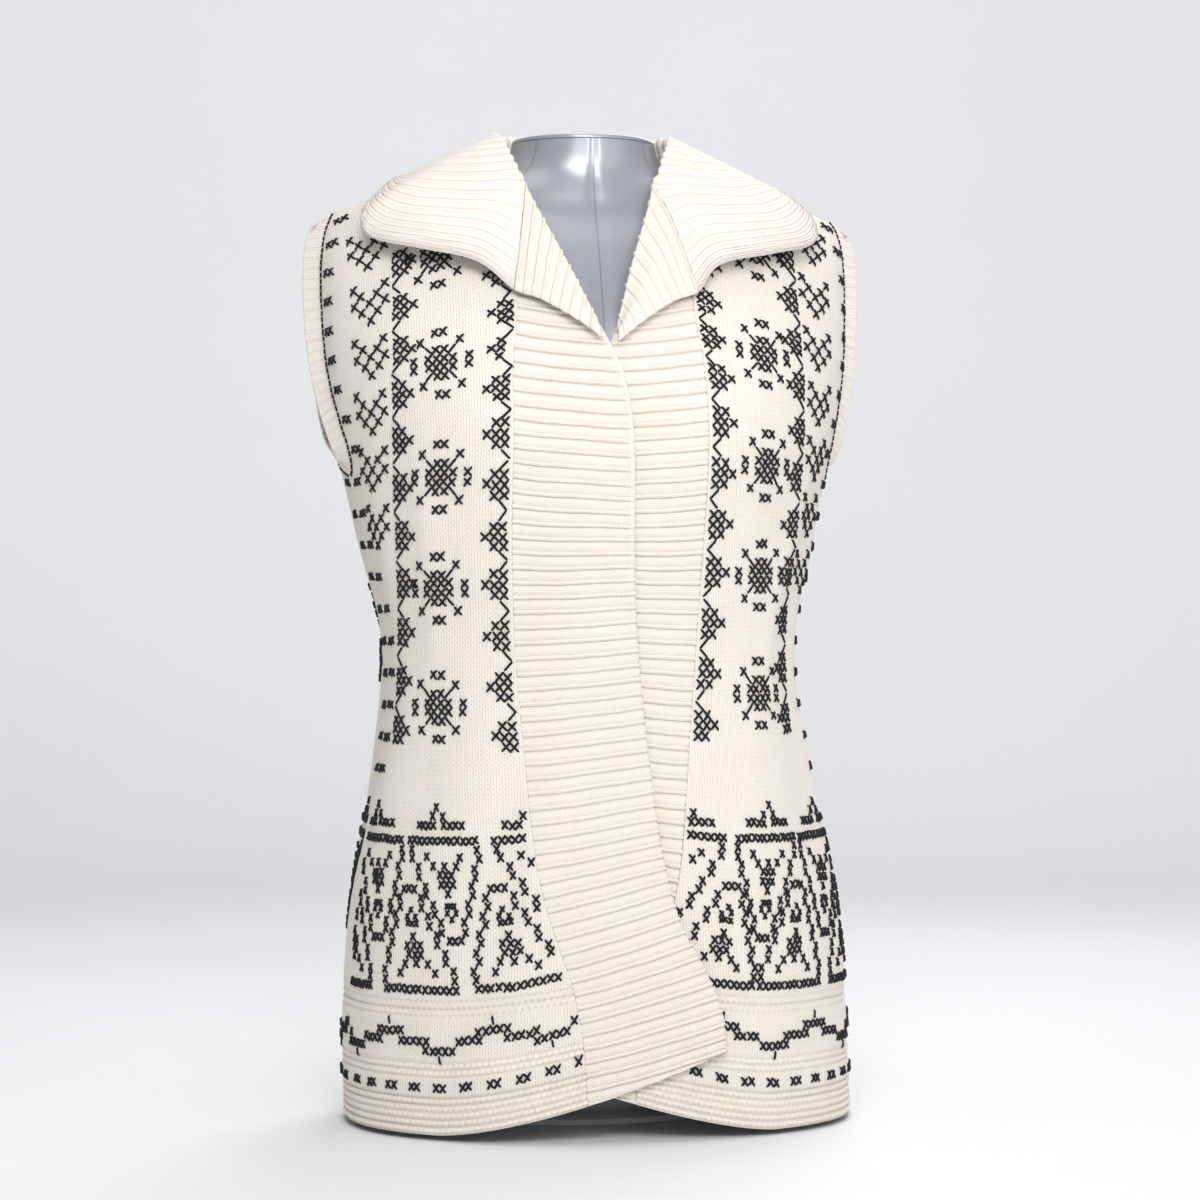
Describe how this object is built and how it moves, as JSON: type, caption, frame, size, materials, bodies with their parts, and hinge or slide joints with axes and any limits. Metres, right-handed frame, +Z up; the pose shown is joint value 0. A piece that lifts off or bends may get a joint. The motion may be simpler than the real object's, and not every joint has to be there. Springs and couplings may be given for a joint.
{
  "type": "sweater vest on a dress form",
  "caption": "Hand-knit sleeveless cardigan vest with ribbed bands and a pointed collar, cross-stitched, worn by a limbless dress form.",
  "frame": {"origin": "middle of the underside of the dress form's foot, on the surface it stands on", "axes": "+Z up, the front faces -Y, the wearer's right is -X"},
  "size_m": [0.3942, 0.2494, 0.6905],
  "materials": {
    "cream_knit": "plain knit in thick cream wool",
    "cream_rib": "ribbed knit in thick cream wool",
    "dark_yarn": "near-black embroidery yarn",
    "form_cover": "glossy silver-grey cover",
    "form_foot": "satin grey paint"
  },
  "bodies": {
    "root": {"back": "cream_knit", "front_right": "cream_knit", "front_left": "cream_knit", "band_right": "cream_rib", "band_left": "cream_rib", "lapel_right": "cream_rib", "lapel_left": "cream_rib", "collar": "cream_rib", "armband_right": "cream_rib", "armband_left": "cream_rib", "form_torso": "form_cover", "form_neck_cap": "form_cover", "form_foot": "form_foot"}
  },
  "joints": []
}
